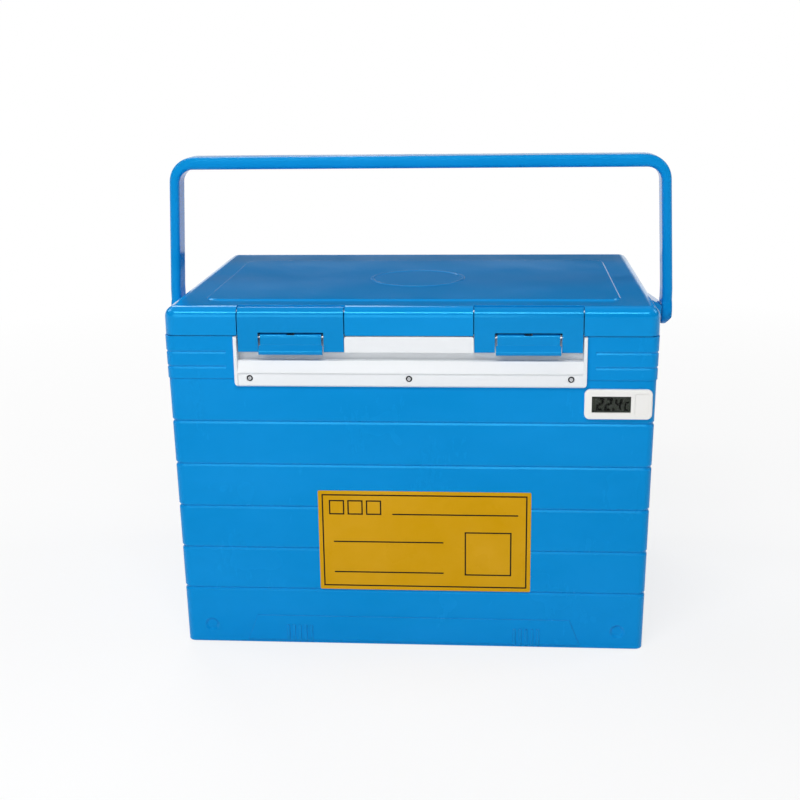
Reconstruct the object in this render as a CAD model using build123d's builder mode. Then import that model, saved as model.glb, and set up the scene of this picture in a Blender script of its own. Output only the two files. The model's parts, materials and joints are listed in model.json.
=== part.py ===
from build123d import *
import os
from math import atan, cos, degrees, radians, sin, tan

# Insulated specimen transport box with a hinged lid, a bail handle and two front latches.
# X runs left to right, Y runs front to back, Z runs up; the origin is the middle of the base.

os.makedirs("parts", exist_ok=True)

# ------------------------------------------------------------------ overall form
box_width = 450.0          # over the rim band, at the top of the body
box_depth = 320.0          # over the rim band, front to back
body_height = 306.4        # floor to the top of the body
seam_gap = 0.6             # between the body's rim and the lid
lid_height = 26.0          # lower edge of the lid to the edge of its top panel
wall_draft = 0.8           # degrees that every outer wall leans inwards towards the floor
corner_radius = 7.0        # vertical corners of the body
shell_wall = 3.0           # moulded outer walls
fit_gap = 0.2              # between pieces that are assembled without moving
press_gap = 0.02           # between a pin or screw and the hole that holds it

# ------------------------------------------------------------------ body shell
band_height = 40.0         # thickened rim round the top of the body
band_proud = 0.8           # how far the rim band stands out from the wall
band_grooves = (15.0, 29.0)        # depth of the rim band's grooves below its top
band_groove_depth = 0.9
band_groove_half = 1.5     # half width of the rim band's grooves
band_groove_stop = 168.5   # these grooves end this far each side of the middle, at the front
wall_grooves = 5           # grooves round the walls
wall_groove_pitch = 42.0
wall_groove_depth = 1.2
wall_groove_half = 1.8
first_wall_groove = 56.6   # height of the lowest groove
base_thickness = 3.0
base_recess = 2.5          # hollows moulded under the base
base_edge = 1.5            # rounding where the walls meet the floor
base_rim = 16.0            # standing rim round the base
base_rib = 14.0            # standing cross between the hollows
skirt_panel_top = 29.0     # raised panel low on the front and back walls
skirt_panel_half_top = 150.0
skirt_panel_half_foot = 160.0
skirt_panel_proud = 0.8
skirt_panel_foot = 3.5     # its lower edge, above the rounded base
skirt_rib_group = 109.0    # middle of each group of upright ribs
skirt_rib_count = 5
skirt_rib_pitch = 5.6
skirt_rib_width = 2.2
skirt_rib_height = 16.0
skirt_rib_proud = 0.9
dimple_reach = 195.5       # round dimples near the lower corners
dimple_height = 18.0
dimple_radius = 7.0
dimple_depth = 1.8
dimple_slope = 55.0        # degrees that the sides of a dimple lean in

# ------------------------------------------------------------------ insulation, liner and lid inside
foam_wall = 29.0           # insulation between the shell and the liner
foam_floor = 30.0
liner_wall = 2.0
liner_corner = 22.0
liner_floor_edge = 12.0
liner_flange = 2.4
flange_drop = 3.0          # liner flange below the top of the body
plug_gap = 2.6             # between the lid's plug and the liner
plug_drop = 14.0           # plug below the lid's lower edge
panel_thickness = 2.2
gasket_width = 7.0
gasket_rest_gap = 0.3      # open gap under the unloaded gasket
gasket_groove = 0.9
gasket_inset = 5.5         # gasket outwards from the plug
gasket_corner = 34.0
plug_edge = 6.0            # rounding under the plug

# ------------------------------------------------------------------ lid
lid_corner = 11.0
lid_edge = 10.0            # rounding round the lid's top
top_panel_margin = 32.0    # raised top panel, in from the sides
top_panel_front = 34.0
top_panel_rear = 56.0
top_panel_proud = 1.2
top_panel_corner = 14.0
top_ring_radius = 47.0
top_ring_width = 2.6
top_ring_proud = 0.4
lid_open = 105.0           # degrees at the lid's stop

# ------------------------------------------------------------------ rear hinges
hinge_reach = 128.0        # middle of each hinge from the middle of the box
hinge_radius = 6.0
hinge_pin_radius = 2.5
hinge_pin_chamfer = 0.4
hinge_running_gap = 0.05
hinge_stand_off = 0.6      # knuckle clear of the rear wall
lid_knuckle_width = 30.0
body_knuckle_width = 14.0
knuckle_side_gap = 0.4
knuckle_arm = 12.0
knuckle_gusset = 26.0
leaf_thickness = 2.4
leaf_height = 15.0         # plate between the knuckles
leaf_screw_pitch = 18.0
leaf_screw_rise = 4.3      # above the foot of the plate
leaf_screw_radius = 1.5
leaf_screw_head = 2.9
leaf_screw_head_depth = 1.4
leaf_screw_grip = 3.6      # screw beyond the plate
stop_heel = 5.0
stop_gap = 0.25

# ------------------------------------------------------------------ catch trim
trim_half = 160.4
trim_bottom = 259.5
trim_side_wall = 3.0
trim_flange_proud = 2.8
trim_flange_edge = 1.4
trim_step_height = 271.8
trim_step = 1.2
trim_slope_foot = 273.6
trim_slope_top = 283.6
trim_slope_in = 0.5        # top of the slope from the wall
trim_corner = 4.5
trim_skin = 3.0
trim_well_depth = 11.4     # recess behind the latches, from the lid's front face
trim_well_floor = 281.0
trim_block_half = 58.7     # raised block between the latches
trim_block_bottom = 291.3
trim_block_corner = 2.0
catch_half = 22.0
catch_height = 298.4       # underside of the catch
catch_thickness = 2.6
catch_reach = 4.3          # from the floor of the recess
trim_screw_reach = 146.5
trim_screw_height = 267.4
trim_screw_head = 2.8      # radius
trim_screw_head_depth = 1.5
trim_screw_seat = 1.5      # under the head, outwards from the wall
trim_screw_shank = 1.5     # radius
trim_screw_length = 9.5
screw_boss = 4.0           # radius of the bosses inside the shell
well_wall = 2.6            # shell wall round the recess behind the latches

# ------------------------------------------------------------------ latches
latch_centre = 107.8
latch_width = 97.4
latch_gap = 0.9            # at each end, between the plate and the lid
latch_skin = 3.0
latch_bottom = 291.5
latch_barrel = 4.0         # outer radius of the hinge barrel
latch_barrel_angle = 60.0  # where the barrel meets the lid's rounded edge
latch_pin_radius = 1.5
latch_pin_gap = 0.05
latch_cheek = 4.0          # lid wall beside the latch
latch_pocket_gap = 1.1
latch_foot_round = 1.0
tab_width = 56.2
tab_window_gap = 2.0
tab_pivot_height = 305.0
tab_barrel = 3.5
tab_top_gap = 1.2
tab_pin_radius = 1.2
tab_pin_gap = 0.05
tab_cheek = 5.0            # boss that holds the tab's pin
tab_cheek_radius = 3.2
tab_pin_cover = 0.8        # cheek beyond the end of the pin
tab_web = 3.2
tab_side_cut = 6.0         # behind the lip, beside the tab
tab_lip_top = 298.5
tab_lip_bottom = 289.6
tab_lip_proud = 4.6
tab_lip_side = 1.2         # lip beyond each side of the tab
tab_lip_gap = 0.3
tab_lip_round = 1.3
tab_lip_nose = 292.6
hook_gap = 0.4
hook_thickness = 3.2
hook_back_gap = 0.8        # tip of the hook to the floor of the recess
spring_slot = 7.2
spring_wire = 0.8
spring_coil_radius = 2.2
spring_turns = 4
spring_pitch = 1.1
spring_room = 5.0
leg_room = 2.3             # slot opened forwards above the pin, for the leg on the plate
tab_leg_angle = -30.0      # where each leg leaves the coil, up from the back
plate_leg_angle = 20.0
tab_leg_length = 3.2
plate_leg_length = 5.8

# ------------------------------------------------------------------ bail handle
handle_top = 455.6
bar_thickness = 12.2
leg_thickness = 9.8
bail_depth = 28.0
leg_gap = 0.6              # between the leg and the ear
leg_lean = 2.7             # degrees that each leg leans inwards
leg_bend = 21.0            # height above the pivot where it starts to lean
bail_corner = 25.0         # outer radius of the bail's top corners
bail_inner_corner = 14.0
bail_edge = 3.6
foot_radius = 16.0         # round foot of each leg
foot_edge = 1.5
toe_height = 9.2           # the foot's outer face slopes inwards below this height
toe_width = 6.5
pivot_height = 302.0
pivot_pin_radius = 4.0
pivot_gap = 0.05
pivot_head_radius = 5.5
pivot_head = 2.4
pivot_head_gap = 0.3
ear_radius = 15.0
ear_thickness = 17.5
ear_gap = 0.8              # between the ear and the body's side
ear_root = 12.0            # height of the sloping root on the side of the lid
ear_flare = 6.0            # root wider than the lug, at each side

# ------------------------------------------------------------------ thermometer and label
meter_from_side = 35.7     # middle of the thermometer from the box's side
meter_height = 244.3
meter_width = 61.0
meter_face = 28.0
meter_corner = 5.0
meter_bezel = 3.2
meter_body_width = 56.0
meter_body_height = 20.0
meter_body_depth = 15.0
meter_wall = 1.6
meter_edge = 1.0
side_panel_centre = 21.0   # shallow recess beside the window
side_panel_width = 12.0
side_panel_height = 20.0
side_panel_corner = 2.0
side_panel_depth = 0.4
window_centre = -6.3       # display window from the middle of the thermometer
window_width = 35.2
window_height = 15.2
lens_thickness = 1.0
lens_set_back = 0.4        # lens below the face round it
display_thickness = 1.4
display_margin = 1.0       # display behind the edges of its window
board_thickness = 1.2
cell_radius = 5.8
cell_thickness = 5.4
cell_pitch = 15.0
cell_offset = 6.0
meter_cover = 1.2
probe_radius = 2.6
probe_length = 14.0
probe_tip = 2.3            # rounding of the probe's tip
lead_run_out = 49.0        # grommet sideways from the middle of the thermometer
lead_start = 24.0          # start of the lead from the middle of the thermometer
lead_depth = 8.0           # lead below the outside of the wall, where it leaves the thermometer
lead_radius = 1.1
lead_bend = 11.0
grommet_neck = 3.6
grommet_radius = 6.0
grommet_flange = 1.5
label_width = 200.0
label_height = 100.0
label_centre = 12.4
label_foot = 57.8
label_thickness = 0.3
label_corner = 1.5

# ------------------------------------------------------------------ derived places
lean = tan(radians(wall_draft))
lid_bottom = body_height + seam_gap
lid_top = lid_bottom + lid_height
front_y = -box_depth / 2
rear_y = box_depth / 2
side_x = box_width / 2
hinge_y = rear_y + hinge_stand_off + hinge_radius
hinge_z = lid_bottom
foam_inset = band_proud + shell_wall + fit_gap
liner_inset = band_proud + shell_wall + foam_wall
chamber_inset = liner_inset + liner_wall
chamber_floor = base_recess + base_thickness + foam_floor + liner_wall
flange_top = body_height - flange_drop
well_back = front_y + trim_well_depth
latch_axis_y = front_y + lid_edge - (lid_edge - latch_barrel) * cos(radians(latch_barrel_angle))
latch_axis_z = lid_top - lid_edge + (lid_edge - latch_barrel) * sin(radians(latch_barrel_angle))
latch_pocket_back = latch_axis_y + latch_barrel + latch_pocket_gap
tab_axis_y = front_y + tab_barrel
latch_sides = (("left", -1), ("right", 1))
meter_centre = side_x - meter_from_side
ear_inner = side_x + ear_gap
ear_outer = ear_inner + ear_thickness
leg_inner = ear_outer + leg_gap
leg_outer = leg_inner + leg_thickness
screw_places = [(n * trim_screw_reach, trim_screw_height) for n in (-1, 0, 1)]
well_half = trim_half + fit_gap
recess_y = well_back - trim_skin


def half_width(height, inset):
    """Half of the body's width at a height, drawn in by an inset."""
    return side_x - inset - (body_height - height) * lean


def half_depth(height, inset):
    """Half of the body's depth at a height, drawn in by an inset."""
    return rear_y - inset - (body_height - height) * lean


def wall_plane(x, height, side=-1):
    """Plane on the front (-1) or back (1) wall: local y runs up the wall and local z outwards."""
    tilt = radians(wall_draft)
    origin = (x, side * half_depth(height, band_proud), height)
    return Plane(origin=origin, x_dir=(-side, 0, 0), z_dir=(0, side * cos(tilt), -sin(tilt)))


def drafted_block(inset, low, high, corner, floor_edge=0.0):
    """Block that follows the leaning walls at an inset, with rounded upright corners."""
    with BuildPart() as block:
        with BuildSketch(Plane.XY.offset(high)):
            Rectangle(2 * half_width(high, inset), 2 * half_depth(high, inset))
        extrude(amount=high - low, dir=(0, 0, -1), taper=wall_draft)
        fillet(block.edges().group_by(Axis.Z)[1], corner)
        if floor_edge:
            fillet(block.faces().sort_by(Axis.Z)[0].edges(), floor_edge)
    return block.part


def groove_ring(height, inset, depth, half_groove):
    """Ring with a V edge that cuts a groove of the given depth right round the walls."""
    width = 2 * half_width(height, inset + depth)
    length = 2 * half_depth(height, inset + depth)
    reach = half_groove * (depth + band_proud) / depth
    with BuildPart() as waist:
        with BuildSketch(Plane.XY.offset(height)):
            RectangleRounded(width, length, corner_radius)
        extrude(amount=reach, both=True, taper=-degrees(atan(depth / half_groove)))
    with BuildPart() as ring:
        with BuildSketch(Plane.XY.offset(height)):
            Rectangle(width + 4 * corner_radius, length + 4 * corner_radius)
        extrude(amount=reach, both=True)
        add(waist.part, mode=Mode.SUBTRACT)
    return ring.part


def front_well(low, extra):
    """Block as wide as the recess behind the latches and deeper by an extra, from a height up."""
    with BuildPart() as well:
        with BuildSketch(Plane.XY.offset(low)):
            with Locations((0, front_y)):
                Rectangle(2 * (well_half + extra), 2 * (trim_well_depth + fit_gap + extra))
        extrude(amount=body_height)
    return well.part


leaf_foot = hinge_z - knuckle_gusset
leaf_face = (band_proud + leaf_thickness) * cos(radians(wall_draft))
leaf_screws = [
    wall_plane(hinge + side * leaf_screw_pitch / 2, leaf_foot + leaf_screw_rise, 1).offset(leaf_face)
    for hinge in (-hinge_reach, hinge_reach)
    for side in (-1, 1)
]

# ------------------------------------------------------------------ body shell
# The hollow leaves the walls, the well behind the latches and the bosses for the trim screws.
shell_floor = base_recess + base_thickness
with BuildPart() as shell_hollow:
    add(drafted_block(band_proud + shell_wall, shell_floor, body_height, corner_radius - shell_wall))
    add(front_well(trim_well_floor - fit_gap - well_wall, well_wall), mode=Mode.SUBTRACT)
    for x, height in screw_places:
        with BuildSketch(wall_plane(x, height)):
            Circle(screw_boss)
        extrude(amount=-shell_wall - trim_screw_length, mode=Mode.SUBTRACT)

band_rings = [groove_ring(body_height - drop, 0, band_groove_depth, band_groove_half) for drop in band_grooves]
groove_heights = [first_wall_groove + n * wall_groove_pitch for n in range(wall_grooves)]
wall_rings = [groove_ring(height, band_proud, wall_groove_depth, wall_groove_half) for height in groove_heights]
rim_band = drafted_block(0, body_height - band_height, body_height, corner_radius + band_proud)
with BuildPart() as plain_band:
    add(rim_band)
    with BuildSketch(Plane.XY.offset(body_height)):
        with Locations((0, front_y)):
            Rectangle(2 * band_groove_stop, box_depth)
    extrude(amount=-band_height, mode=Mode.INTERSECT)

with BuildPart() as body_shell:
    add(rim_band)
    add(drafted_block(band_proud, 0, body_height, corner_radius, base_edge))
    add(band_rings + wall_rings, mode=Mode.SUBTRACT)
    add(plain_band.part)
    with BuildSketch(wall_plane(0, body_height)):
        Rectangle(2 * well_half, 2 * (band_height + 2 * band_proud))
    extrude(amount=2 * band_proud, mode=Mode.SUBTRACT)

    for side in (-1, 1):
        with BuildSketch(wall_plane(0, 0, side)):
            with BuildLine():
                Polyline(
                    (-skirt_panel_half_foot, skirt_panel_foot),
                    (skirt_panel_half_foot, skirt_panel_foot),
                    (skirt_panel_half_top, skirt_panel_top),
                    (-skirt_panel_half_top, skirt_panel_top),
                    close=True,
                )
            make_face()
        extrude(amount=skirt_panel_proud)
        with BuildSketch(wall_plane(0, skirt_panel_foot + skirt_rib_height / 2, side)):
            for group in (-skirt_rib_group, skirt_rib_group):
                with Locations((group, 0)):
                    with GridLocations(skirt_rib_pitch, 0, skirt_rib_count, 1):
                        Rectangle(skirt_rib_width, skirt_rib_height)
        extrude(amount=skirt_panel_proud + skirt_rib_proud)
        for reach in (-dimple_reach, dimple_reach):
            with BuildSketch(wall_plane(reach, dimple_height, side)):
                Circle(dimple_radius)
            extrude(amount=-dimple_depth, taper=dimple_slope, mode=Mode.SUBTRACT)

    hollow_width = half_width(0, band_proud) - base_rim - base_rib / 2
    hollow_depth = half_depth(0, band_proud) - base_rim - base_rib / 2
    with BuildSketch(Plane.XY):
        with GridLocations(hollow_width + base_rib, hollow_depth + base_rib, 2, 2):
            RectangleRounded(hollow_width, hollow_depth, base_rim / 2)
    extrude(amount=base_recess, mode=Mode.SUBTRACT)

    add(shell_hollow.part, mode=Mode.SUBTRACT)
    add(front_well(trim_well_floor - fit_gap, 0), mode=Mode.SUBTRACT)
    for x, height in screw_places:
        with BuildSketch(wall_plane(x, height)):
            Circle(trim_screw_shank + press_gap)
        extrude(amount=-trim_screw_length, mode=Mode.SUBTRACT)
    with BuildSketch(wall_plane(meter_centre, meter_height)):
        Rectangle(meter_width + 2 * fit_gap, meter_face + 2 * fit_gap)
    extrude(amount=meter_bezel, mode=Mode.SUBTRACT)
    with BuildSketch(wall_plane(meter_centre, meter_height)):
        Rectangle(meter_body_width + 2 * fit_gap, meter_body_height + 2 * fit_gap)
    extrude(amount=-2 * shell_wall, mode=Mode.SUBTRACT)
    for place in leaf_screws:
        with BuildSketch(place):
            Circle(leaf_screw_radius + press_gap)
        extrude(amount=-leaf_thickness - band_proud - 2 * shell_wall, mode=Mode.SUBTRACT)

body_shell.part.label = "body_shell"
export_step(body_shell.part, "parts/body_shell.step")

# ------------------------------------------------------------------ rear hinge leaves on the body
# Each leaf is a plate on the rim band with two knuckles on gussets.
knuckle_reach = (lid_knuckle_width + body_knuckle_width) / 2 + knuckle_side_gap
leaf_foot_y = half_depth(leaf_foot, 0)
leaf_top_y = half_depth(leaf_foot + leaf_height, 0)
with BuildPart() as body_hinge_leaves:
    for hinge in (-hinge_reach, hinge_reach):
        for reach in (hinge - knuckle_reach, hinge + knuckle_reach):
            with BuildSketch(Plane.YZ.offset(reach)):
                with BuildLine():
                    Polyline(
                        (half_depth(body_height, 0), body_height),
                        (hinge_y, body_height),
                        (hinge_y + hinge_radius, hinge_z),
                        (leaf_foot_y + leaf_thickness, leaf_foot),
                        (leaf_foot_y, leaf_foot),
                        close=True,
                    )
                make_face()
                with Locations((hinge_y, hinge_z)):
                    Circle(hinge_radius)
                    Circle(hinge_pin_radius + press_gap, mode=Mode.SUBTRACT)
            extrude(amount=body_knuckle_width / 2, both=True)
        with BuildSketch(Plane.YZ.offset(hinge)):
            with BuildLine():
                Polyline(
                    (leaf_foot_y, leaf_foot),
                    (leaf_foot_y + leaf_thickness, leaf_foot),
                    (leaf_top_y + leaf_thickness, leaf_foot + leaf_height),
                    (leaf_top_y, leaf_foot + leaf_height),
                    close=True,
                )
            make_face()
        extrude(amount=knuckle_reach, both=True)
    for place in leaf_screws:
        with BuildSketch(place):
            Circle(leaf_screw_radius + press_gap)
        extrude(amount=-leaf_thickness, mode=Mode.SUBTRACT)

body_hinge_leaves.part.label = "body_hinge_leaves"
export_step(body_hinge_leaves.part, "parts/body_hinge_leaves.step")

with BuildPart() as hinge_screws:
    for place in leaf_screws:
        with BuildSketch(place):
            Circle(leaf_screw_radius)
        extrude(amount=-leaf_thickness - leaf_screw_grip)
        with BuildSketch(place):
            Circle(leaf_screw_head)
        extrude(amount=leaf_screw_head_depth)

hinge_screws.part.label = "hinge_screws"
export_step(hinge_screws.part, "parts/hinge_screws.step")

# ------------------------------------------------------------------ rear hinge pins
with BuildPart() as hinge_pins:
    for hinge in (-hinge_reach, hinge_reach):
        with BuildSketch(Plane.YZ.offset(hinge)):
            with Locations((hinge_y, hinge_z)):
                Circle(hinge_pin_radius)
        extrude(amount=knuckle_reach + body_knuckle_width / 2, both=True)
    chamfer(hinge_pins.edges().filter_by(GeomType.CIRCLE), hinge_pin_chamfer)

hinge_pins.part.label = "hinge_pins"
export_step(hinge_pins.part, "parts/hinge_pins.step")

# ------------------------------------------------------------------ inner liner
liner_outer_corner = liner_corner + liner_wall
liner_outer_edge = liner_floor_edge + liner_wall
liner_foot = chamber_floor - liner_wall
liner_outside = drafted_block(liner_inset, liner_foot, flange_top, liner_outer_corner, liner_outer_edge)
liner_inside = drafted_block(chamber_inset, chamber_floor, flange_top, liner_corner, liner_floor_edge)
with BuildPart() as inner_liner:
    add(drafted_block(foam_inset, flange_top - liner_flange, flange_top, corner_radius - shell_wall))
    add(liner_outside)
    add(liner_inside, mode=Mode.SUBTRACT)
    add(front_well(trim_well_floor, well_wall + fit_gap), mode=Mode.SUBTRACT)
    with BuildSketch(wall_plane(meter_centre - lead_run_out, meter_height)):
        Circle(grommet_neck + press_gap)
    extrude(amount=-shell_wall - foam_wall - 2 * liner_wall, mode=Mode.SUBTRACT)

inner_liner.part.label = "inner_liner"
export_step(inner_liner.part, "parts/inner_liner.step")

# ------------------------------------------------------------------ insulation between shell and liner
foam_foot = shell_floor + fit_gap
lead_channel = grommet_neck + fit_gap
with BuildPart() as body_insulation:
    add(drafted_block(foam_inset, foam_foot, flange_top - liner_flange, corner_radius - shell_wall))
    add(liner_outside, mode=Mode.SUBTRACT)
    add(front_well(trim_well_floor - well_wall - 2 * fit_gap, well_wall + fit_gap), mode=Mode.SUBTRACT)
    for x, height in screw_places:
        with BuildSketch(wall_plane(x, height)):
            Circle(screw_boss + fit_gap)
        extrude(amount=-shell_wall - trim_screw_length - fit_gap, mode=Mode.SUBTRACT)
    with BuildSketch(wall_plane(meter_centre, meter_height)):
        Rectangle(meter_body_width + 2 * fit_gap, meter_body_height + 2 * fit_gap)
    extrude(amount=-meter_body_depth - fit_gap, mode=Mode.SUBTRACT)
    # Channel for the probe's lead, from the thermometer to the liner
    with BuildSketch(wall_plane(meter_centre - lead_run_out / 2, meter_height)):
        SlotOverall(lead_run_out + 2 * lead_channel, 2 * lead_channel)
    extrude(amount=-shell_wall - foam_wall, mode=Mode.SUBTRACT)

body_insulation.part.label = "body_insulation"
export_step(body_insulation.part, "parts/body_insulation.step")

# ------------------------------------------------------------------ catch trim and its screws
def wall_y(height):
    """Place of the front wall at a height."""
    return -half_depth(height, band_proud)


trim_top = body_height - fit_gap
flange_y = wall_y(trim_slope_top) - trim_flange_proud
with BuildPart() as catch_trim:
    with BuildSketch(Plane.YZ.offset(-trim_half)):
        with BuildLine():
            Polyline(
                (wall_y(trim_bottom), trim_bottom),
                (flange_y + trim_flange_edge, trim_bottom),
                (flange_y, trim_bottom + trim_flange_edge),
                (flange_y, trim_step_height),
                (flange_y - trim_step, trim_step_height + trim_step / 2),
                (flange_y - trim_step, trim_slope_foot),
                (wall_y(trim_slope_top) - trim_slope_in, trim_slope_top),
                (recess_y, trim_slope_top),
                (recess_y, trim_top),
                (well_back, trim_top),
                (well_back, trim_well_floor),
                (wall_y(trim_well_floor), trim_well_floor),
                close=True,
            )
        make_face()
    extrude(amount=2 * trim_half)
    # Side walls
    for side in (-1, 1):
        with BuildSketch(Plane.YZ.offset(side * (trim_half - trim_side_wall / 2))):
            with BuildLine():
                Polyline(
                    (wall_y(trim_bottom), trim_bottom),
                    (flange_y - trim_step + trim_flange_edge, trim_bottom),
                    (flange_y - trim_step, trim_bottom + trim_flange_edge),
                    (flange_y - trim_step, trim_top),
                    (well_back, trim_top),
                    (well_back, trim_well_floor),
                    (wall_y(trim_well_floor), trim_well_floor),
                    close=True,
                )
            make_face()
        extrude(amount=trim_side_wall / 2, both=True)
    # Hollow block between the latches, open at the back
    with BuildSketch(Plane.XZ.offset(-well_back)) as block_face:
        with Locations((0, (trim_block_bottom + trim_top) / 2)):
            Rectangle(2 * trim_block_half, trim_top - trim_block_bottom)
        fillet(block_face.vertices().group_by(Axis.Y)[-1], trim_block_corner)
    extrude(amount=well_back - front_y)
    with BuildSketch(Plane.XZ.offset(-well_back)):
        with Locations((0, (trim_block_bottom + trim_top) / 2)):
            Rectangle(2 * (trim_block_half - trim_skin), trim_top - trim_block_bottom - 2 * trim_skin)
    extrude(amount=well_back - front_y - trim_skin, mode=Mode.SUBTRACT)
    # Catches that the hooks of the two latches hold
    for _, sign in latch_sides:
        with BuildSketch(Plane.YZ.offset(sign * latch_centre)):
            with Locations((recess_y + (trim_skin - catch_reach) / 2, catch_height + catch_thickness / 2)):
                Rectangle(catch_reach + trim_skin, catch_thickness)
        extrude(amount=catch_half, both=True)
    for x, height in screw_places:
        with BuildSketch(wall_plane(x, height).offset(trim_screw_seat)):
            Circle(trim_screw_head + fit_gap)
        extrude(amount=trim_flange_proud, mode=Mode.SUBTRACT)
        with BuildSketch(wall_plane(x, height)):
            Circle(trim_screw_shank + fit_gap)
        extrude(amount=trim_flange_proud, mode=Mode.SUBTRACT)
    with BuildSketch(Plane.XZ.offset(-wall_y(trim_bottom))):
        with Locations((0, trim_bottom)):
            Rectangle(4 * trim_half, 2 * trim_corner)
        with Locations((0, trim_bottom + 2 * trim_corner)):
            RectangleRounded(2 * trim_half, 4 * trim_corner, trim_corner, mode=Mode.SUBTRACT)
    extrude(amount=trim_well_depth, both=True, mode=Mode.SUBTRACT)

catch_trim.part.label = "catch_trim"
export_step(catch_trim.part, "parts/catch_trim.step")

with BuildPart() as trim_screws:
    for x, height in screw_places:
        with BuildSketch(wall_plane(x, height).offset(trim_screw_seat)):
            Circle(trim_screw_head)
        extrude(amount=trim_screw_head_depth)
        with BuildSketch(wall_plane(x, height).offset(trim_screw_seat)):
            Circle(trim_screw_shank)
        extrude(amount=-trim_screw_length)

trim_screws.part.label = "trim_screws"
export_step(trim_screws.part, "parts/trim_screws.step")

# ------------------------------------------------------------------ lid shell
pocket_half = latch_width / 2 + latch_gap
with BuildPart() as lid_hollow:
    with BuildSketch(Plane.XY.offset(lid_bottom)):
        RectangleRounded(box_width - 2 * shell_wall, box_depth - 2 * shell_wall, lid_corner - shell_wall)
    extrude(amount=lid_height - shell_wall)
    fillet(lid_hollow.faces().sort_by(Axis.Z)[-1].edges(), lid_edge - shell_wall)
    with BuildSketch(Plane.XY.offset(lid_bottom)):
        with Locations((-latch_centre, front_y), (latch_centre, front_y)):
            Rectangle(2 * (pocket_half + latch_cheek), 2 * (latch_pocket_back + shell_wall - front_y))
    extrude(amount=lid_height, mode=Mode.SUBTRACT)

# Ears for the bail: a round lug below a sloping root on the side of the lid
with BuildPart() as handle_ear:
    with BuildSketch(Plane.YZ.offset(side_x - shell_wall / 2)):
        with BuildLine():
            Polyline(
                (-ear_radius, pivot_height),
                (ear_radius, pivot_height),
                (ear_radius + ear_flare, lid_bottom + ear_root),
                (-ear_radius - ear_flare, lid_bottom + ear_root),
                close=True,
            )
        make_face()
        with Locations((0, pivot_height)):
            Circle(ear_radius)
    extrude(amount=ear_outer - side_x + shell_wall / 2)
    with BuildSketch(Plane.XZ):
        with BuildLine():
            Polyline(
                (side_x - shell_wall, lid_bottom),
                (ear_inner, lid_bottom),
                (ear_inner, pivot_height - 2 * ear_radius),
                (ear_outer, pivot_height - 2 * ear_radius),
                (ear_outer, lid_bottom),
                (side_x, lid_bottom + ear_root),
                (side_x - shell_wall, lid_bottom + ear_root),
                close=True,
            )
        make_face()
    extrude(amount=3 * ear_radius, both=True, mode=Mode.INTERSECT)
    with BuildSketch(Plane.YZ.offset(ear_inner)):
        with Locations((0, pivot_height)):
            Circle(pivot_pin_radius + press_gap)
    extrude(amount=ear_thickness, mode=Mode.SUBTRACT)

with BuildPart() as lid_shell:
    with BuildSketch(Plane.XY.offset(lid_bottom)):
        RectangleRounded(box_width, box_depth, lid_corner)
    extrude(amount=lid_height)
    fillet(lid_shell.faces().sort_by(Axis.Z)[-1].edges(), lid_edge)
    with BuildSketch(Plane.XY.offset(lid_top)):
        with Locations((0, (top_panel_front - top_panel_rear) / 2)):
            RectangleRounded(
                box_width - 2 * top_panel_margin,
                box_depth - top_panel_front - top_panel_rear,
                top_panel_corner,
            )
    extrude(amount=top_panel_proud, taper=45)
    with BuildSketch(Plane.XY.offset(lid_top + top_panel_proud)):
        with Locations((0, (top_panel_front - top_panel_rear) / 2)):
            Circle(top_ring_radius)
            Circle(top_ring_radius - top_ring_width, mode=Mode.SUBTRACT)
    extrude(amount=top_ring_proud)
    add(lid_hollow.part, mode=Mode.SUBTRACT)
    # Pockets for the latches, open at the front, top and bottom
    with BuildSketch(Plane.XY.offset(lid_bottom)):
        with Locations((-latch_centre, front_y), (latch_centre, front_y)):
            Rectangle(2 * pocket_half, 2 * (latch_pocket_back - front_y))
    extrude(amount=2 * lid_height, mode=Mode.SUBTRACT)
    for _, sign in latch_sides:
        with BuildSketch(Plane.YZ.offset(sign * latch_centre)):
            with Locations((latch_axis_y, latch_axis_z)):
                Circle(latch_pin_radius + press_gap)
        extrude(amount=pocket_half + latch_cheek, both=True, mode=Mode.SUBTRACT)
    add(handle_ear.part)
    add(mirror(handle_ear.part, about=Plane.YZ, mode=Mode.PRIVATE))

lid_shell.part.label = "lid_shell"
export_step(lid_shell.part, "parts/lid_shell.step")

# ------------------------------------------------------------------ rear hinge leaves on the lid
# Each leaf holds the middle knuckle and the heel that stops the open lid.
with BuildPart() as lid_hinge_leaves:
    for hinge in (-hinge_reach, hinge_reach):
        with BuildSketch(Plane.YZ.offset(hinge)):
            with BuildLine():
                Polyline(
                    (rear_y, hinge_z),
                    (hinge_y, hinge_z),
                    (hinge_y, hinge_z + hinge_radius),
                    (rear_y, hinge_z + knuckle_arm),
                    close=True,
                )
            make_face()
            with Locations(Location((hinge_y, hinge_z), lid_open)):
                with Locations(((stop_gap - hinge_radius - hinge_stand_off) / 2, -stop_heel / 2)):
                    Rectangle(hinge_radius + hinge_stand_off - stop_gap, stop_heel)
            with Locations((hinge_y, hinge_z)):
                Circle(hinge_radius)
                Circle(hinge_pin_radius + hinge_running_gap, mode=Mode.SUBTRACT)
        extrude(amount=lid_knuckle_width / 2, both=True)

lid_hinge_leaves.part.label = "lid_hinge_leaves"
export_step(lid_hinge_leaves.part, "parts/lid_hinge_leaves.step")

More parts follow.
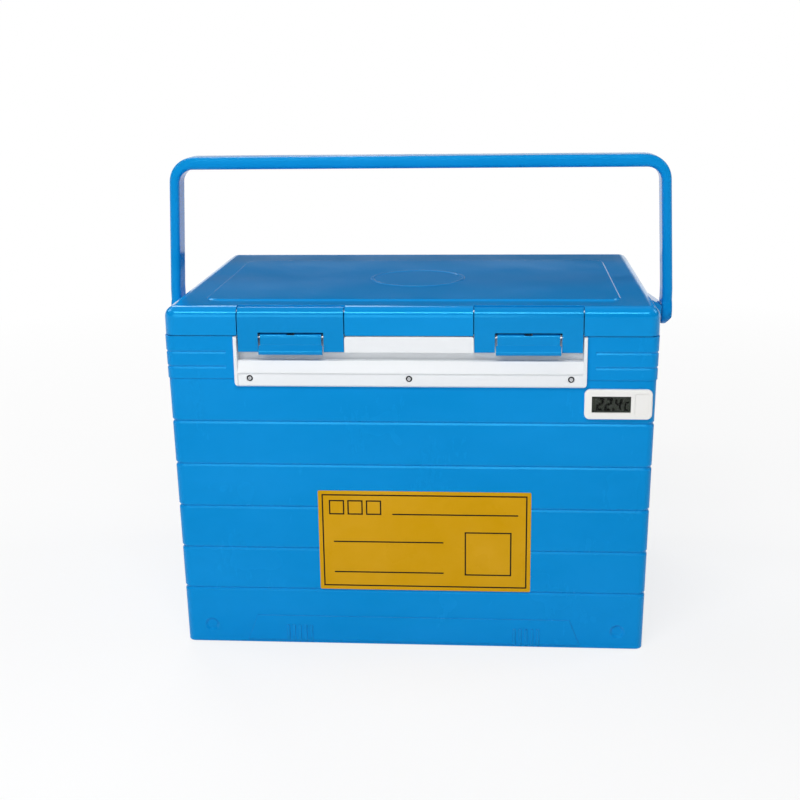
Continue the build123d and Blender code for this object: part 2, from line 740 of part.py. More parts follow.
# ------------------------------------------------------------------ lid inner panel with its plug
plug_inset = chamber_inset + plug_gap
panel_top = lid_bottom + panel_thickness
gasket_inner = chamber_inset - gasket_inset
gasket_outer = gasket_inner - gasket_width
lid_inside_width = box_width - 2 * (shell_wall + fit_gap)
lid_inside_depth = box_depth - 2 * (shell_wall + fit_gap)
notch_width = 2 * (pocket_half + latch_cheek + fit_gap)
notch_depth = 2 * (latch_pocket_back + shell_wall + fit_gap - front_y)
with BuildPart() as lid_inner_panel:
    with BuildSketch(Plane.XY.offset(lid_bottom)):
        RectangleRounded(lid_inside_width, lid_inside_depth, lid_corner - shell_wall)
        with Locations((-latch_centre, front_y), (latch_centre, front_y)):
            Rectangle(notch_width, notch_depth, mode=Mode.SUBTRACT)
    extrude(amount=panel_thickness)
    add(drafted_block(plug_inset, lid_bottom - plug_drop, panel_top, liner_corner - plug_gap, plug_edge))
    add(
        drafted_block(
            plug_inset + panel_thickness,
            lid_bottom - plug_drop + panel_thickness,
            panel_top,
            liner_corner - plug_gap - panel_thickness,
            plug_edge - panel_thickness,
        ),
        mode=Mode.SUBTRACT,
    )
    with BuildSketch(Plane.XY.offset(lid_bottom)):
        RectangleRounded(
            2 * half_width(flange_top, gasket_outer), 2 * half_depth(flange_top, gasket_outer), gasket_corner
        )
        RectangleRounded(
            2 * half_width(flange_top, gasket_inner),
            2 * half_depth(flange_top, gasket_inner),
            gasket_corner - gasket_width,
            mode=Mode.SUBTRACT,
        )
    extrude(amount=gasket_groove, mode=Mode.SUBTRACT)

lid_inner_panel.part.label = "lid_inner_panel"
export_step(lid_inner_panel.part, "parts/lid_inner_panel.step")

# ------------------------------------------------------------------ lid gasket
with BuildPart() as lid_gasket:
    with BuildSketch(Plane.XY.offset(flange_top + gasket_rest_gap)):
        RectangleRounded(
            2 * half_width(flange_top, gasket_outer + fit_gap / 2),
            2 * half_depth(flange_top, gasket_outer + fit_gap / 2),
            gasket_corner,
        )
        RectangleRounded(
            2 * half_width(flange_top, gasket_inner - fit_gap / 2),
            2 * half_depth(flange_top, gasket_inner - fit_gap / 2),
            gasket_corner - gasket_width,
            mode=Mode.SUBTRACT,
        )
    extrude(amount=lid_bottom + gasket_groove - flange_top - gasket_rest_gap)
    fillet(lid_gasket.faces().sort_by(Axis.Z)[0].edges(), gasket_width / 3)

lid_gasket.part.label = "lid_gasket"
export_step(lid_gasket.part, "parts/lid_gasket.step")

# ------------------------------------------------------------------ lid insulation
with BuildPart() as lid_insulation:
    with BuildSketch(Plane.XY.offset(panel_top + fit_gap)):
        RectangleRounded(lid_inside_width, lid_inside_depth, lid_corner - shell_wall)
    extrude(amount=lid_top - shell_wall - panel_top - 2 * fit_gap)
    fillet(lid_insulation.faces().sort_by(Axis.Z)[-1].edges(), lid_edge - shell_wall)
    with BuildSketch(Plane.XY.offset(panel_top)):
        with Locations((-latch_centre, front_y), (latch_centre, front_y)):
            Rectangle(notch_width, notch_depth)
    extrude(amount=lid_height, mode=Mode.SUBTRACT)
    add(
        drafted_block(
            plug_inset + panel_thickness + fit_gap,
            lid_bottom - plug_drop + panel_thickness + fit_gap,
            panel_top + fit_gap,
            liner_corner - plug_gap - panel_thickness,
            plug_edge - panel_thickness,
        )
    )

lid_insulation.part.label = "lid_insulation"
export_step(lid_insulation.part, "parts/lid_insulation.step")

# ------------------------------------------------------------------ latches
edge_centre = (front_y + lid_edge, lid_top - lid_edge)
window_half = tab_width / 2 + tab_window_gap
window_top = tab_pivot_height + tab_barrel + tab_top_gap
tab_inner_y = front_y + tab_web
lip_half = tab_width / 2 + tab_lip_side
lip_y = front_y - tab_lip_proud
hook_top = catch_height - hook_gap
hook_tip = recess_y - hook_back_gap
hook_half = catch_half - fit_gap
for side, sign in latch_sides:
    centre = sign * latch_centre

    # Plate that continues the lid's front and rounded edge, with its hinge barrel
    with BuildPart() as latch_plate:
        with BuildSketch(Plane.YZ.offset(centre)):
            with BuildLine():
                face = Line((front_y, latch_bottom), (front_y, lid_top - lid_edge))
                bend = CenterArc(edge_centre, lid_edge, 180, -latch_barrel_angle)
                inner_bend = CenterArc(
                    edge_centre, lid_edge - latch_skin, 180 - latch_barrel_angle, latch_barrel_angle
                )
                Line(bend @ 1, inner_bend @ 0)
                inner_face = Line(inner_bend @ 1, (front_y + latch_skin, latch_bottom))
                Line(inner_face @ 1, face @ 0)
            make_face()
            with Locations((latch_axis_y, latch_axis_z)):
                Circle(latch_barrel)
        extrude(amount=latch_width / 2, both=True)
        fillet(latch_plate.edges().filter_by(Axis.X).group_by(Axis.Z)[0], latch_foot_round)
        # Window for the tab, open at the foot
        with BuildSketch(Plane.XZ.offset(-front_y)) as window:
            with Locations((centre, latch_bottom)):
                Rectangle(2 * window_half, 2 * (window_top - latch_bottom))
        extrude(amount=latch_skin + tab_lip_gap, both=True, mode=Mode.SUBTRACT)
        for end in (-1, 1):
            with BuildSketch(Plane.YZ.offset(centre + end * (window_half + tab_cheek / 2))):
                with Locations((tab_axis_y, tab_pivot_height)):
                    Circle(tab_cheek_radius)
                with Locations((tab_axis_y - tab_cheek_radius / 2, tab_pivot_height)):
                    Rectangle(tab_cheek_radius, 2 * tab_cheek_radius)
                with Locations((front_y - tab_barrel, tab_pivot_height)):
                    Rectangle(2 * tab_barrel, 4 * tab_barrel, mode=Mode.SUBTRACT)
            extrude(amount=tab_cheek / 2, both=True)
        with BuildSketch(Plane.YZ.offset(centre)):
            with Locations((latch_axis_y, latch_axis_z)):
                Circle(latch_pin_radius + latch_pin_gap)
        extrude(amount=latch_width, both=True, mode=Mode.SUBTRACT)
        with BuildSketch(Plane.YZ.offset(centre)):
            with Locations((tab_axis_y, tab_pivot_height)):
                Circle(tab_pin_radius + press_gap)
        extrude(amount=window_half + tab_cheek - tab_pin_cover, both=True, mode=Mode.SUBTRACT)

    latch_plate.part.label = f"latch_plate_{side}"
    export_step(latch_plate.part, f"parts/latch_plate_{side}.step")

    with BuildPart() as latch_hinge_pin:
        with BuildSketch(Plane.YZ.offset(centre)):
            with Locations((latch_axis_y, latch_axis_z)):
                Circle(latch_pin_radius)
        extrude(amount=pocket_half + latch_cheek - fit_gap, both=True)

    latch_hinge_pin.part.label = f"latch_hinge_pin_{side}"
    export_step(latch_hinge_pin.part, f"parts/latch_hinge_pin_{side}.step")

    # Tab: a lever with a barrel, a lip to pull and a hook that holds under the catch
    with BuildPart() as latch_tab:
        with BuildSketch(Plane.YZ.offset(centre)) as tab_profile:
            with BuildLine():
                Polyline(
                    (front_y, tab_pivot_height),
                    (front_y, tab_lip_top),
                    (lip_y, tab_lip_nose),
                    (lip_y + tab_lip_round, tab_lip_bottom),
                    (tab_inner_y, tab_lip_bottom),
                    (tab_inner_y, tab_pivot_height),
                    close=True,
                )
            make_face()
            fillet(tab_profile.vertices().sort_by(Axis.X)[:2], tab_lip_round)
        extrude(amount=lip_half, both=True)
        for end in (-1, 1):
            with BuildSketch(Plane.YZ.offset(centre + end * tab_width / 2)):
                with Locations((front_y - tab_lip_gap + tab_side_cut, tab_lip_top)):
                    Rectangle(2 * tab_side_cut, 4 * tab_side_cut)
            extrude(amount=end * lip_half, mode=Mode.SUBTRACT)
        with BuildSketch(Plane.YZ.offset(centre)):
            with Locations((tab_axis_y, tab_pivot_height)):
                Circle(tab_barrel)
        extrude(amount=tab_width / 2, both=True)
        with BuildSketch(Plane.YZ.offset(centre)):
            with BuildLine():
                Polyline(
                    (tab_inner_y - tab_web / 2, hook_top),
                    (hook_tip, hook_top),
                    (hook_tip, hook_top - hook_thickness / 3),
                    (tab_inner_y, hook_top - hook_thickness),
                    (tab_inner_y - tab_web / 2, hook_top - hook_thickness),
                    close=True,
                )
            make_face()
        extrude(amount=hook_half, both=True)
        # Slot for the spring and bore for the pin
        with BuildSketch(Plane.YZ.offset(centre)):
            with Locations((tab_axis_y, tab_pivot_height)):
                Circle(tab_pin_radius + tab_pin_gap)
        extrude(amount=tab_width, both=True, mode=Mode.SUBTRACT)
        with BuildSketch(Plane.YZ.offset(centre)):
            with Locations((tab_inner_y + spring_room / 2, tab_pivot_height)):
                Rectangle(spring_room, 4 * tab_barrel - tab_web)
            with Locations((tab_axis_y, tab_pivot_height)):
                Circle(spring_coil_radius + spring_wire)
            with Locations((tab_inner_y - leg_room / 2, tab_pivot_height + tab_barrel)):
                Rectangle(leg_room, 2 * (tab_barrel - tab_pin_radius))
        extrude(amount=spring_slot / 2, both=True, mode=Mode.SUBTRACT)

    latch_tab.part.label = f"latch_tab_{side}"
    export_step(latch_tab.part, f"parts/latch_tab_{side}.step")

    with BuildPart() as tab_pin:
        with BuildSketch(Plane.YZ.offset(centre)):
            with Locations((tab_axis_y, tab_pivot_height)):
                Circle(tab_pin_radius)
        extrude(amount=window_half + tab_cheek - tab_pin_cover - fit_gap, both=True)

    tab_pin.part.label = f"tab_pin_{side}"
    export_step(tab_pin.part, f"parts/tab_pin_{side}.step")

    # Torsion spring round the tab's pin: one leg on the plate, the other on the tab
    coil_height = spring_pitch * (spring_turns + (plate_leg_angle - tab_leg_angle) / 360)
    coil_start = Plane(
        origin=(centre - coil_height / 2, tab_axis_y, tab_pivot_height),
        x_dir=(0, cos(radians(tab_leg_angle)), sin(radians(tab_leg_angle))),
        z_dir=(1, 0, 0),
    )
    with BuildPart() as tab_spring:
        with BuildLine() as coil_line:
            Helix(spring_pitch, coil_height, spring_coil_radius)
        coil = coil_line.edges()[0].moved(coil_start.location)
        with BuildLine() as spring_path:
            Line(coil @ 0 - (coil % 0) * tab_leg_length, coil @ 0)
            add(coil)
            Line(coil @ 1, coil @ 1 + (coil % 1) * plate_leg_length)
        spring_wires = spring_path.wires()
        with BuildSketch(Plane(origin=spring_wires[0] @ 0, z_dir=spring_wires[0] % 0)):
            Circle(spring_wire / 2)
        sweep(path=spring_wires[0])

    tab_spring.part.label = f"tab_spring_{side}"
    export_step(tab_spring.part, f"parts/tab_spring_{side}.step")

# ------------------------------------------------------------------ bail handle
bend_height = pivot_height + leg_bend


def leg_line(reach, top):
    """Points of one face of the bail: up the left leg, across under a height and down the right leg."""
    lean_in = (top - bend_height) * tan(radians(leg_lean))
    left = [(-reach, pivot_height), (-reach, bend_height), (lean_in - reach, top)]
    return left + [(-x, z) for x, z in reversed(left)]


with BuildPart() as handle_bail:
    with BuildSketch(Plane.XZ):
        with BuildLine():
            outline = FilletPolyline(*leg_line(leg_outer, handle_top), radius=bail_corner)
            inside = FilletPolyline(
                *leg_line(leg_inner, handle_top - bar_thickness), radius=bail_inner_corner
            )
            Line(outline @ 0, inside @ 0)
            Line(outline @ 1, inside @ 1)
        make_face()
    extrude(amount=bail_depth / 2, both=True)
    fillet(handle_bail.faces().filter_by(Axis.Y).edges(), bail_edge)
    for outer in (-1, 1):
        with BuildPart(mode=Mode.PRIVATE) as foot:
            with BuildSketch(Plane.YZ.offset(outer * leg_inner)):
                with Locations((0, pivot_height)):
                    Circle(foot_radius)
            extrude(amount=outer * leg_thickness)
            fillet(foot.edges().filter_by(GeomType.CIRCLE), foot_edge)
        add(foot.part)
        with BuildSketch(Plane.XZ):
            with BuildLine():
                Polyline(
                    (outer * leg_outer, pivot_height - foot_radius + toe_height),
                    (outer * (leg_outer - toe_width), pivot_height - foot_radius),
                    (outer * leg_outer, pivot_height - foot_radius),
                    close=True,
                )
            make_face()
        extrude(amount=foot_radius, both=True, mode=Mode.SUBTRACT)
        with BuildSketch(Plane.YZ.offset(outer * leg_inner)):
            with Locations((0, pivot_height)):
                Circle(pivot_pin_radius + pivot_gap)
        extrude(amount=outer * leg_thickness, mode=Mode.SUBTRACT)
        with BuildSketch(Plane.YZ.offset(outer * leg_outer)):
            with Locations((0, pivot_height)):
                Circle(pivot_head_radius + pivot_head_gap)
        extrude(amount=-outer * (pivot_head + pivot_head_gap), mode=Mode.SUBTRACT)

handle_bail.part.label = "handle_bail"
export_step(handle_bail.part, "parts/handle_bail.step")

with BuildPart() as handle_pivot_pins:
    for outer in (-1, 1):
        with BuildSketch(Plane.YZ.offset(outer * (ear_inner + fit_gap))):
            with Locations((0, pivot_height)):
                Circle(pivot_pin_radius)
        extrude(amount=outer * (leg_outer - ear_inner - fit_gap - pivot_head / 2))
        with BuildSketch(Plane.YZ.offset(outer * (leg_outer - pivot_head))):
            with Locations((0, pivot_height)):
                Circle(pivot_head_radius)
        extrude(amount=outer * pivot_head)

handle_pivot_pins.part.label = "handle_pivot_pins"
export_step(handle_pivot_pins.part, "parts/handle_pivot_pins.step")

# ------------------------------------------------------------------ thermometer
meter_plane = wall_plane(meter_centre, meter_height)
meter_cavity_width = meter_body_width - 2 * meter_wall
meter_cavity_height = meter_body_height - 2 * meter_wall
with BuildPart() as thermometer_case:
    with BuildSketch(meter_plane):
        RectangleRounded(meter_width, meter_face, meter_corner)
    extrude(amount=meter_bezel)
    fillet(thermometer_case.faces().sort_by(Axis.Y)[0].edges(), meter_edge)
    with BuildSketch(meter_plane):
        RectangleRounded(meter_body_width, meter_body_height, meter_wall)
    extrude(amount=-meter_body_depth)
    with BuildSketch(meter_plane.offset(meter_bezel - meter_wall)):
        Rectangle(meter_cavity_width, meter_cavity_height)
    extrude(amount=-meter_bezel - meter_body_depth, mode=Mode.SUBTRACT)
    with BuildSketch(meter_plane.offset(meter_bezel)):
        with Locations((window_centre, 0)):
            Rectangle(window_width, window_height)
    extrude(amount=-2 * meter_wall, mode=Mode.SUBTRACT)
    with BuildSketch(meter_plane.offset(meter_bezel)):
        with Locations((side_panel_centre, 0)):
            RectangleRounded(side_panel_width, side_panel_height, side_panel_corner)
    extrude(amount=-side_panel_depth, mode=Mode.SUBTRACT)
    lead_slot = Plane(origin=meter_plane.from_local_coords((-lead_start, 0, -lead_depth)), z_dir=(-1, 0, 0))
    with BuildSketch(lead_slot):
        Circle(lead_radius + fit_gap / 2)
    extrude(amount=meter_body_width / 2, mode=Mode.SUBTRACT)

thermometer_case.part.label = "thermometer_case"
export_step(thermometer_case.part, "parts/thermometer_case.step")

with BuildPart() as thermometer_lens:
    with BuildSketch(meter_plane.offset(meter_bezel - lens_set_back)):
        with Locations((window_centre, 0)):
            Rectangle(window_width - fit_gap, window_height - fit_gap)
    extrude(amount=-lens_thickness)

thermometer_lens.part.label = "thermometer_lens"
export_step(thermometer_lens.part, "parts/thermometer_lens.step")

display_front = meter_bezel - meter_wall - fit_gap / 4
with BuildPart() as thermometer_display:
    with BuildSketch(meter_plane.offset(display_front)):
        with Locations((window_centre, 0)):
            Rectangle(window_width + 2 * display_margin, window_height + display_margin)
    extrude(amount=-display_thickness)

thermometer_display.part.label = "thermometer_display"
export_step(thermometer_display.part, "parts/thermometer_display.step")

board_front = display_front - display_thickness
with BuildPart() as thermometer_board:
    with BuildSketch(meter_plane.offset(board_front)):
        Rectangle(meter_cavity_width - 2 * fit_gap, meter_cavity_height - 2 * fit_gap)
    extrude(amount=-board_thickness)

thermometer_board.part.label = "thermometer_board"
export_step(thermometer_board.part, "parts/thermometer_board.step")

with BuildPart() as thermometer_cells:
    with BuildSketch(meter_plane.offset(board_front - board_thickness)):
        with Locations((cell_pitch / 2 + cell_offset, 0), (-cell_pitch / 2 + cell_offset, 0)):
            Circle(cell_radius)
    extrude(amount=-cell_thickness)

thermometer_cells.part.label = "thermometer_cells"
export_step(thermometer_cells.part, "parts/thermometer_cells.step")

with BuildPart() as thermometer_cover:
    with BuildSketch(meter_plane.offset(-meter_body_depth)):
        Rectangle(meter_cavity_width - fit_gap, meter_cavity_height - fit_gap)
    extrude(amount=meter_cover)
    # Pads that hold the cells against the board
    cells_back = board_front - board_thickness - cell_thickness
    with BuildSketch(meter_plane.offset(cells_back - fit_gap / 4)):
        with Locations((cell_pitch / 2 + cell_offset, 0), (-cell_pitch / 2 + cell_offset, 0)):
            Rectangle(cell_radius, cell_radius)
    extrude(amount=-(cells_back - fit_gap / 4 + meter_body_depth - meter_cover / 2))

thermometer_cover.part.label = "thermometer_cover"
export_step(thermometer_cover.part, "parts/thermometer_cover.step")

# ------------------------------------------------------------------ temperature probe
probe_plane = wall_plane(meter_centre - lead_run_out, meter_height)
liner_face = -(chamber_inset - band_proud) * cos(radians(wall_draft))
lead_end = liner_face + liner_wall / 2
with BuildPart() as probe_lead:
    with BuildLine() as lead_path:
        FilletPolyline(
            meter_plane.from_local_coords((-lead_start, 0, -lead_depth)),
            meter_plane.from_local_coords((-lead_run_out, 0, -lead_depth)),
            probe_plane.from_local_coords((0, 0, lead_end)),
            radius=lead_bend,
        )
    with BuildSketch(Plane(origin=lead_path.wires()[0] @ 0, z_dir=lead_path.wires()[0] % 0)):
        Circle(lead_radius)
    sweep(path=lead_path.wires()[0])

probe_lead.part.label = "probe_lead"
export_step(probe_lead.part, "parts/probe_lead.step")

with BuildPart() as probe_grommet:
    with BuildSketch(probe_plane.offset(liner_face)):
        Circle(grommet_radius)
    extrude(amount=-grommet_flange)
    fillet(probe_grommet.faces().sort_by(Axis.Y)[-1].edges(), grommet_flange / 2)
    with BuildSketch(probe_plane.offset(liner_face)):
        Circle(grommet_neck)
    extrude(amount=liner_wall + grommet_flange)
    with BuildSketch(probe_plane.offset(lead_end + fit_gap / 4)):
        Circle(probe_radius + fit_gap / 4)
    extrude(amount=-liner_wall - grommet_flange, mode=Mode.SUBTRACT)
    with BuildSketch(probe_plane.offset(lead_end)):
        Circle(lead_radius + fit_gap / 4)
    extrude(amount=liner_wall + grommet_flange, mode=Mode.SUBTRACT)

probe_grommet.part.label = "probe_grommet"
export_step(probe_grommet.part, "parts/probe_grommet.step")

with BuildPart() as temperature_probe:
    with BuildSketch(probe_plane.offset(lead_end)):
        Circle(probe_radius)
    extrude(amount=-probe_length)
    fillet(temperature_probe.edges().sort_by(Axis.Y)[-1], probe_tip)

temperature_probe.part.label = "temperature_probe"
export_step(temperature_probe.part, "parts/temperature_probe.step")

# ------------------------------------------------------------------ label
with BuildPart() as label:
    with BuildSketch(wall_plane(label_centre, label_foot + label_height / 2 * cos(radians(wall_draft)))):
        RectangleRounded(label_width, label_height, label_corner)
    extrude(amount=label_thickness)

label.part.label = "label"
export_step(label.part, "parts/label.step")
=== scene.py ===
import json
from math import cos, hypot, pi, radians, sin

import bmesh
import bpy
from mathutils import Matrix, Vector


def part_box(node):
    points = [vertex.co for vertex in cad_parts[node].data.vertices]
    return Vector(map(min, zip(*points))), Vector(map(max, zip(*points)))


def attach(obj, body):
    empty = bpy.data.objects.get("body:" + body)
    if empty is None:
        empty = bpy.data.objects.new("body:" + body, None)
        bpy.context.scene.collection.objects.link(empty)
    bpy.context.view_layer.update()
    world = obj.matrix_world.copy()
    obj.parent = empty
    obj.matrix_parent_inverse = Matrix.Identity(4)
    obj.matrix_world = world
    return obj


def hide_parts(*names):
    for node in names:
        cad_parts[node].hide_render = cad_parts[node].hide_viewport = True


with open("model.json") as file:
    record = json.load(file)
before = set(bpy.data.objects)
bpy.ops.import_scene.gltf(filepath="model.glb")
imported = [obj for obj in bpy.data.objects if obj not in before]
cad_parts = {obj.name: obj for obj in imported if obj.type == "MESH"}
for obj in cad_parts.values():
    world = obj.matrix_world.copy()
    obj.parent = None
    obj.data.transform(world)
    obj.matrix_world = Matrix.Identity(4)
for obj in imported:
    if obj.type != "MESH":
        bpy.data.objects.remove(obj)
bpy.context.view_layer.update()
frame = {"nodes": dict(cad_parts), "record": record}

# -------------------------------------------------- camera, floor and lights (metres, degrees)
camera_place = (0.0776, -1.296, 0.556)
camera_yaw = -4.34
camera_pitch = 15.17
camera_roll = -0.77
camera_lens = 58.05
camera_sensor = 36.0

floor_reach = 9.0                   # radius of the flat floor
floor_rings = (0.5, 2.0, floor_reach)
floor_sides = 96
rim_radius = 0.55                   # the floor curves up into a low rim all round
rim_steps = 16
rim_top = 1.50                      # height of the rim's upper edge
floor_white = (0.90, 0.90, 0.90, 1.0)
floor_span = (0.45, 1.7)            # distances from the box's middle, near and far
floor_own = (0.76, 1.0)             # share of the paper's own white that is seen at these distances

horizon_light = 0.020               # world brightness round the horizon and overhead
overhead_light = 0.34
horizon_top = 0.35                  # sine of the elevation where the dim band ends
overhead_start = 0.85               # sine of the elevation where the full overhead light begins

# Name, place, point that it faces, width and height, power in watts
lamps = (
    ("key", (-0.6, -2.4, 0.95), (0, 0, 0.22), (1.6, 1.0), 15.0),
    ("softbox", (-0.1, -1.11, 1.48), (0, -0.16, 0.32), (1.1, 0.26), 13.0),
    ("side_left", (-1.9, 0.3, 1.7), (0, 0, 0.2), (1.0, 1.0), 11.5),
    ("side_right", (1.9, 0.3, 1.7), (0, 0, 0.2), (1.0, 1.0), 11.5),
    ("back", (-0.7, 1.7, 1.8), (0, 0, 0.22), (1.2, 0.8), 16.0),
)

# -------------------------------------------------- colours on the screen (0 to 255 unless said)
blue = (2, 139, 213)
latch_blue = (2, 132, 203)
handle_blue = (2, 141, 214)
liner_white = (236, 238, 240)
trim_white = (236, 239, 242)
meter_white = (243, 242, 239)
label_yellow = (214, 160, 6)
ink_black = (18, 17, 16)
display_grey = (57, 62, 55)
segment_black = (5, 6, 6)
window_grey = (70, 74, 70)
film_gloss = (1.0, 0.75, 0.3, 1.0)  # tint of the yellow film's highlights, linear

# -------------------------------------------------- surface of the plastic
tint_power = 0.35                   # 0 leaves highlights white, 1 gives them the plastic's own colour
pale_lift = 0.004                   # light added where the flow marks are pale
haze_smoother = 0.03                # how far the roughness falls and rises where hands have been
haze_rougher = 0.04
scuff_rougher = 0.05
wear_reach = 0.0006                 # how far from an edge the plastic is rubbed pale
wear_white = 0.08                   # share of white in a rubbed edge
edge_cosines = (0.995, 0.88)        # between face and rounded edge, where the rubbing starts and is full

# -------------------------------------------------- details added here (metres)
wall_draft = radians(0.8)           # lean of the walls, as in the solids

digit_height = 0.0118
digit_width = 0.0062
digit_stroke = 0.0021
digit_slant = 0.13
digit_places = (-0.0100, -0.0025, 0.0062)
segments_of = {"2": "abged", "4": "fgbc", "C": "afed"}
segment_gap = 0.07                  # between segments, as a share of the stroke
point_place = 0.0020
unit_place = 0.0125
unit_size = 0.70                    # height of the C as a share of a digit's
degree_lift = 0.3                   # height of the degree ring above the C's middle, share of a digit's
degree_bore = 0.4                   # open middle of the ring, as a share of its radius
degree_sides = 14
ink_height = (0.00004, 0.00010)     # raised clear of the display

print_rise = 0.00006                # ink above the film
film_border = 0.0035                # printed frame, in from the edge of the sticker
print_line = 0.0013                 # width of the printed lines
# Ruled lines: left end, right end and drop from the sticker's top
form_rules = (
    (0.070, 0.188, 0.0230),
    (0.014, 0.118, 0.0510),
    (0.014, 0.118, 0.0820),
)
# Empty boxes: middle from the sticker's left, drop of the middle, side
form_boxes = (
    (0.0175, 0.0165, 0.0145),
    (0.0350, 0.0165, 0.0145),
    (0.0525, 0.0165, 0.0145),
    (0.1600, 0.0620, 0.0440),
)

trim_screw_rise = 0.0015
hinge_screw_rise = 0.0014
screw_flat = 0.6                    # flat middle of a screw head, as a share of its radius
screw_dome = 0.08                   # fall of the flat middle towards its edge, as a share of the rise
screw_sides = 56
screw_rings = 14
screw_shoulder = 0.9                # bend of the rim, as a share of the head's radius
rim_heights = (1 - screw_dome, 0.55, 0.3, 0.0)  # from the flat's edge to the seat, shares of the rise
cross_half = 0.24                   # half width of the recess's arms, as a share of the flat's radius
cross_reach = 0.82                  # end of the arms, as a share of the flat's radius
cross_depth = 0.62                  # as a share of the rise
cross_side = 0.5                    # slope of the recess's sides and ends, as shares of the half width
cross_end = 0.8

range_sockets = ("From Min", "From Max", "To Min", "To Max")


def linear(colour):
    """Linear light of a screen colour given as 0 to 255."""
    parts = [c / 255 for c in colour]
    return tuple(p / 12.92 if p <= 0.04045 else ((p + 0.055) / 1.055) ** 2.4 for p in parts) + (1.0,)


def scaled(base, factor, lift=0.0):
    """Linear colour times a factor, plus a little grey."""
    return tuple(min(1.0, c * factor + lift) for c in base[:3]) + (1.0,)


def whitened(base, share):
    """Linear colour with a share of white."""
    return tuple(c + (1 - c) * share for c in base[:3]) + (1.0,)


def clamped(value):
    """Value held between 0 and 1."""
    return max(0.0, min(1.0, value))


# -------------------------------------------------- materials
class Finish:
    """One node material; its helpers return sockets."""

    def __init__(self, name, colour, roughness, **shader):
        self.material = bpy.data.materials.new(name)
        self.material.use_nodes = True
        self.tree = self.material.node_tree
        self.shader = self.tree.nodes["Principled BSDF"]
        self.place = self.node("ShaderNodeTexCoord").outputs["Object"]
        self.set("Base Color", linear(colour))
        self.set("Roughness", roughness)
        for socket, value in shader.items():
            self.set(socket.replace("_", " "), value)

    def set(self, socket, value):
        """Sets or links one input of the surface shader."""
        self.feed(self.shader.inputs[socket], value)

    def feed(self, socket, value):
        """Links a socket to another one, or gives it a plain value."""
        if isinstance(value, bpy.types.NodeSocket):
            self.tree.links.new(value, socket)
        else:
            socket.default_value = value

    def node(self, kind, **inputs):
        """New node with some of its inputs set or linked."""
        node = self.tree.nodes.new(kind)
        for name, value in inputs.items():
            self.feed(node.inputs[name.replace("_", " ")], value)
        return node

    def noise(self, scale, detail=3.0, roughness=0.55, stretch=(1, 1, 1)):
        """Noise over the piece's own coordinates, in metres."""
        mapping = self.node("ShaderNodeMapping", Vector=self.place, Scale=stretch)
        texture = self.node(
            "ShaderNodeTexNoise", Vector=mapping.outputs[0], Scale=scale, Detail=detail, Roughness=roughness
        )
        return texture.outputs["Fac"]

    def range(self, value, span, to=(0.0, 1.0)):
        """Carries one span of values over to another."""
        node = self.node("ShaderNodeMapRange", Value=value)
        for name, number in zip(range_sockets, span + to):
            node.inputs[name].default_value = number
        return node.outputs[0]

    def math(self, operation, first, second):
        """Result of a sum, product or comparison."""
        node = self.tree.nodes.new("ShaderNodeMath")
        node.operation = operation
        self.feed(node.inputs[0], first)
        self.feed(node.inputs[1], second)
        return node.outputs[0]

    def mix(self, factor, first, second):
        """Colour between two colours."""
        node = self.tree.nodes.new("ShaderNodeMix")
        node.data_type = "RGBA"
        for socket, value in (("Factor", factor), ("A", first), ("B", second)):
            self.feed(node.inputs[socket], value)
        return node.outputs["Result"]

    def edges(self, radius):
        """0 on flat faces to 1 on edges sharper than a radius."""
        bevel = self.node("ShaderNodeBevel", Radius=radius)
        normal = self.node("ShaderNodeNewGeometry").outputs["Normal"]
        dot = self.tree.nodes.new("ShaderNodeVectorMath")
        dot.operation = "DOT_PRODUCT"
        self.feed(dot.inputs[0], bevel.outputs[0])
        self.feed(dot.inputs[1], normal)
        return self.range(dot.outputs["Value"], edge_cosines)

    def surface(self, layers, round_edges=0.0):
        """Bump from (height socket, strength, distance) layers over softened edges."""
        normal = None
        if round_edges:
            normal = self.node("ShaderNodeBevel", Radius=round_edges).outputs[0]
        for height, strength, distance in layers:
            bump = self.node("ShaderNodeBump", Height=height, Strength=strength, Distance=distance)
            if normal:
                self.feed(bump.inputs["Normal"], normal)
            normal = bump.outputs[0]
        self.set("Normal", normal)


def moulded(name, colour, roughness, grain=0.10, wear=0.25, edge=0.0006, variation=0.05, rub=1.0, gloss=0.4):
    """Injection-moulded plastic: fine spark grain, slight flow marks, handling haze and paler worn edges."""
    base = linear(colour)
    strongest = max(base[:3])
    tint = tuple((c / strongest) ** tint_power for c in base[:3]) + (1.0,)
    finish = Finish(name, colour, roughness, Specular_IOR_Level=gloss, Specular_Tint=tint)
    flow = finish.range(finish.noise(5.0, detail=4.0, roughness=0.6, stretch=(1, 1, 2.2)), (0.3, 0.7))
    tone = finish.mix(flow, scaled(base, 1 - variation), scaled(base, 1 + variation, pale_lift))
    edges = finish.edges(wear_reach)
    patches = finish.range(finish.noise(95.0), (0.38, 0.62), (0.2, wear * 2))
    rubbed = finish.math("MULTIPLY", edges, patches)
    finish.set("Base Color", finish.mix(rubbed, tone, whitened(base, wear_white)))
    scuffs = finish.range(finish.noise(60.0, detail=6.0, roughness=0.7, stretch=(1, 1, 0.35)), (0.56, 0.78))
    scuffed = finish.math("MULTIPLY", scuffs, scuff_rougher * rub)
    hands = (roughness - haze_smoother * rub, roughness + haze_rougher * rub)
    haze = finish.range(finish.noise(9.0), (0.3, 0.75), hands)
    finish.set("Roughness", finish.math("ADD", haze, scuffed))
    sink = finish.noise(14.0, detail=1.0)
    spark = finish.noise(1500.0, detail=2.0, roughness=0.6)
    finish.surface([(sink, 0.06, 0.0016), (spark, grain, 0.00008)], edge)
    return finish.material


